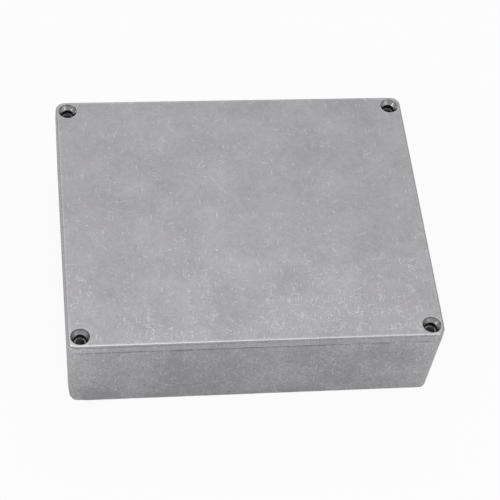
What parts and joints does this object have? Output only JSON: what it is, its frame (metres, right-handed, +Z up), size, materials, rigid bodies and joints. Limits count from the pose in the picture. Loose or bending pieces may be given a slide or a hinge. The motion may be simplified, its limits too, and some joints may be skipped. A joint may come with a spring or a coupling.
{
  "type": "die cast aluminium box",
  "caption": "Flat rectangular die cast aluminium enclosure: a drafted body with corner screw bosses, closed by a lid with sunk screw seats and a locating lip.",
  "frame": {"origin": "centre of the underside, on the surface the box stands on", "axes": "+X along the length, +Y across the width towards the back, +Z up through the lid"},
  "size_m": [0.145, 0.121, 0.041],
  "materials": {
    "cast_aluminium": "as cast, tumbled dull, with fine scratches and bright nicks"
  },
  "bodies": {
    "root": {"box_body": "cast_aluminium", "lid": "cast_aluminium"}
  },
  "joints": []
}
